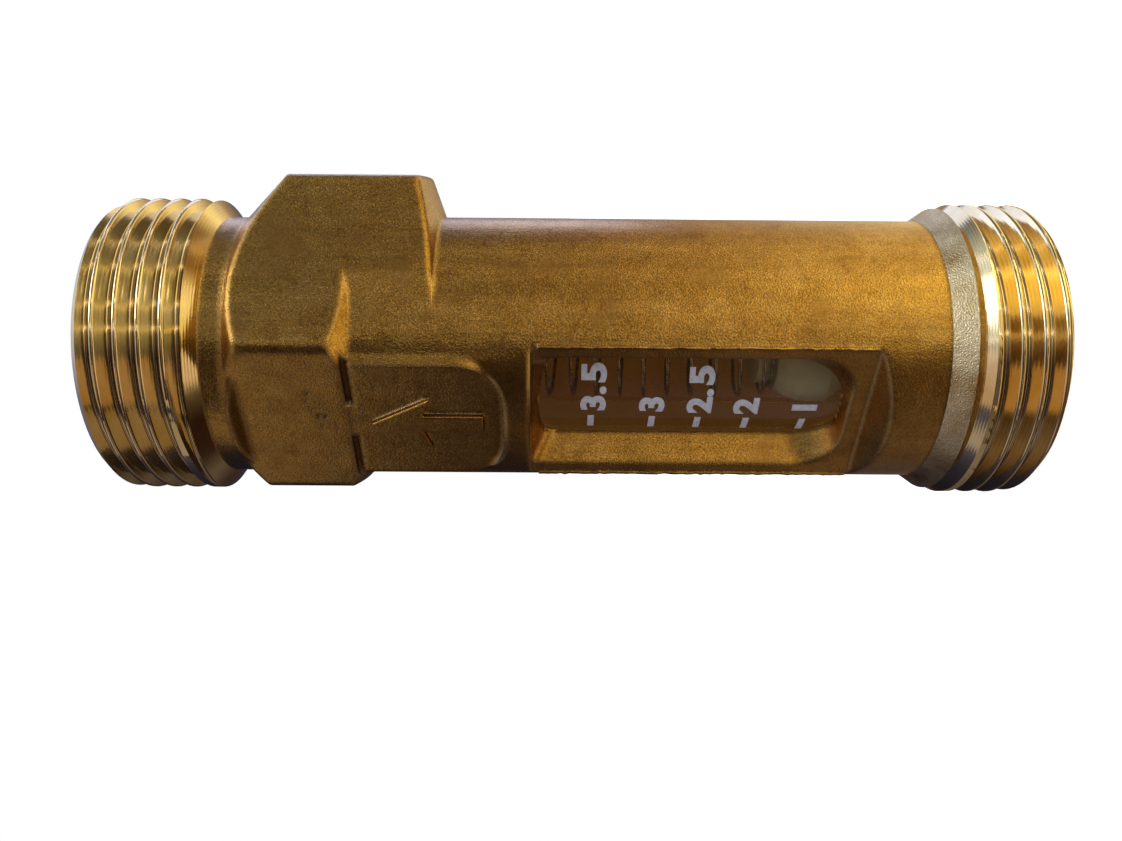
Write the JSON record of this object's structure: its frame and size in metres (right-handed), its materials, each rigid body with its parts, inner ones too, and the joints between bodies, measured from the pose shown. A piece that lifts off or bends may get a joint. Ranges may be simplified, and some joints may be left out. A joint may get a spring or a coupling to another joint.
{
  "type": "rotameter",
  "caption": "Upright inline flow meter: threaded brass body with a hexagonal block and a front window, showing a spring-loaded float in a clear tube.",
  "frame": {"origin": "centre of the inlet end face, on the bore axis", "axes": "+Z along the bore, from the inlet to the outlet; the reading window faces -Y"},
  "size_m": [0.0394, 0.0378, 0.102],
  "materials": {
    "cast_brass": "cast, with machined ends",
    "turned_brass": "machined",
    "clear_plastic": "clear, polished",
    "white_plastic": "translucent white, moulded",
    "seal_rubber": "matte",
    "stainless_steel": "bright"
  },
  "bodies": {
    "housing": {"body": "cast_brass", "sight_tube": "clear_plastic", "lower_tube_seal": "seal_rubber", "upper_tube_seal": "seal_rubber", "tube_gasket": "seal_rubber", "tube_retainer": "turned_brass", "thrust_washer": "stainless_steel", "lower_guide": "white_plastic", "upper_guide": "white_plastic", "guide_rod": "stainless_steel", "lower_rod_nut": "stainless_steel", "upper_rod_nut": "stainless_steel", "return_spring": "stainless_steel"},
    "float": {"float": "white_plastic"}
  },
  "joints": [
    {"name": "float_lift", "type": "slide", "parent": "housing", "child": "float", "axis": [0, 0, 1], "range_m": [0, 0.026], "stiffness_N_per_m": 14, "springref_m": -0.005, "deforming": ["return_spring"]}
  ]
}
